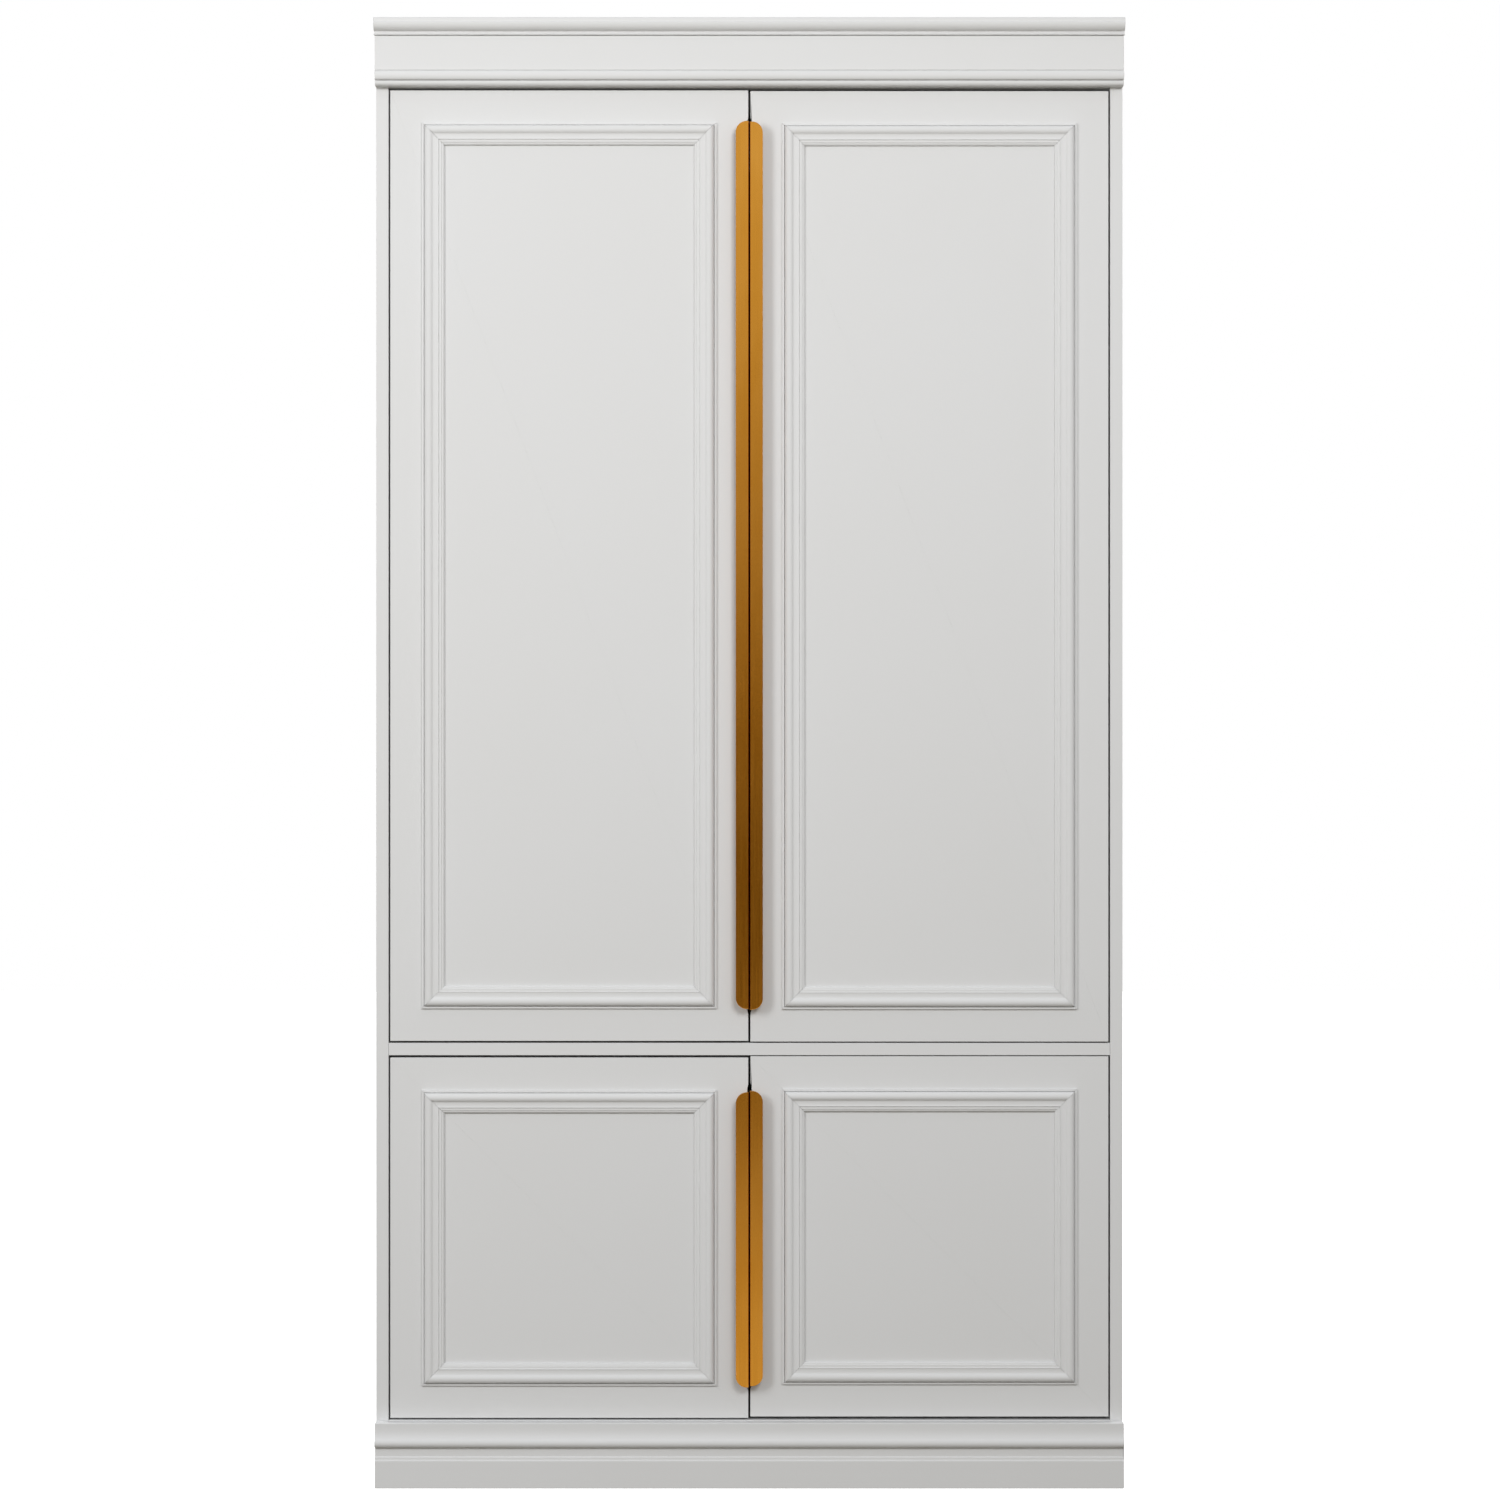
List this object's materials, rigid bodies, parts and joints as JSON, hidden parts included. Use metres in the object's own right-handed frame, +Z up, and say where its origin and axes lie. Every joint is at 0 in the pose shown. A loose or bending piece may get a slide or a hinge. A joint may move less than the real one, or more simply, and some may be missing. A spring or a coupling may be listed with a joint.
{
  "type": "armoire",
  "caption": "Tall painted armoire with short doors below tall ones, mitred door mouldings, full-length edge pulls, cornice and plinth.",
  "frame": {"origin": "on the floor, under the middle of the object's bounding box", "axes": "+Z up, the front faces -Y, +X to the right seen from the front"},
  "size_m": [1.098, 0.44, 2.15],
  "materials": {
    "lacquer": "satin light grey lacquer on board",
    "back_panel": "matt light grey lacquer on thin board",
    "gold": "brushed satin gold",
    "nickel": "nickel-plated steel"
  },
  "bodies": {
    "carcass": {"side_panel_left": "lacquer", "side_panel_right": "lacquer", "bottom_panel": "lacquer", "middle_panel": "lacquer", "top_panel": "lacquer", "header_rail": "lacquer", "back_panel_lower": "back_panel", "back_panel_upper": "back_panel", "shelf_lower_1": "lacquer", "shelf_upper_1": "lacquer", "shelf_upper_2": "lacquer", "shelf_upper_3": "lacquer", "cornice_bottom_moulding": "lacquer", "cornice_fascia": "lacquer", "cornice_top_moulding": "lacquer", "plinth_board": "lacquer", "hinge_arm_upper_left_1": "nickel", "hinge_arm_upper_left_2": "nickel", "hinge_arm_upper_left_3": "nickel", "hinge_arm_upper_right_1": "nickel", "hinge_arm_upper_right_2": "nickel", "hinge_arm_upper_right_3": "nickel", "hinge_arm_lower_left_1": "nickel", "hinge_arm_lower_left_2": "nickel", "hinge_arm_lower_right_1": "nickel", "hinge_arm_lower_right_2": "nickel"},
    "door_upper_left": {"door_upper_left": "lacquer", "moulding_upper_left_bottom": "lacquer", "moulding_upper_left_hinge_side": "lacquer", "moulding_upper_left_top": "lacquer", "moulding_upper_left_handle_side": "lacquer", "handle_upper_left": "gold", "hinge_cup_upper_left_1": "nickel", "hinge_cup_upper_left_2": "nickel", "hinge_cup_upper_left_3": "nickel"},
    "door_upper_right": {"door_upper_right": "lacquer", "moulding_upper_right_bottom": "lacquer", "moulding_upper_right_hinge_side": "lacquer", "moulding_upper_right_top": "lacquer", "moulding_upper_right_handle_side": "lacquer", "handle_upper_right": "gold", "hinge_cup_upper_right_1": "nickel", "hinge_cup_upper_right_2": "nickel", "hinge_cup_upper_right_3": "nickel"},
    "door_lower_left": {"door_lower_left": "lacquer", "moulding_lower_left_bottom": "lacquer", "moulding_lower_left_hinge_side": "lacquer", "moulding_lower_left_top": "lacquer", "moulding_lower_left_handle_side": "lacquer", "handle_lower_left": "gold", "hinge_cup_lower_left_1": "nickel", "hinge_cup_lower_left_2": "nickel"},
    "door_lower_right": {"door_lower_right": "lacquer", "moulding_lower_right_bottom": "lacquer", "moulding_lower_right_hinge_side": "lacquer", "moulding_lower_right_top": "lacquer", "moulding_lower_right_handle_side": "lacquer", "handle_lower_right": "gold", "hinge_cup_lower_right_1": "nickel", "hinge_cup_lower_right_2": "nickel"}
  },
  "joints": [
    {"name": "door_upper_left_swing", "type": "hinge", "parent": "carcass", "child": "door_upper_left", "pos_m": [-0.5014, -0.181, 1.35095], "axis": [0, 0, -1], "range_deg": [0, 100]},
    {"name": "door_upper_right_swing", "type": "hinge", "parent": "carcass", "child": "door_upper_right", "pos_m": [0.5014, -0.181, 1.35095], "axis": [0, 0, 1], "range_deg": [0, 100]},
    {"name": "door_lower_left_swing", "type": "hinge", "parent": "carcass", "child": "door_lower_left", "pos_m": [-0.5014, -0.181, 0.36455], "axis": [0, 0, -1], "range_deg": [0, 100]},
    {"name": "door_lower_right_swing", "type": "hinge", "parent": "carcass", "child": "door_lower_right", "pos_m": [0.5014, -0.181, 0.36455], "axis": [0, 0, 1], "range_deg": [0, 100]}
  ]
}
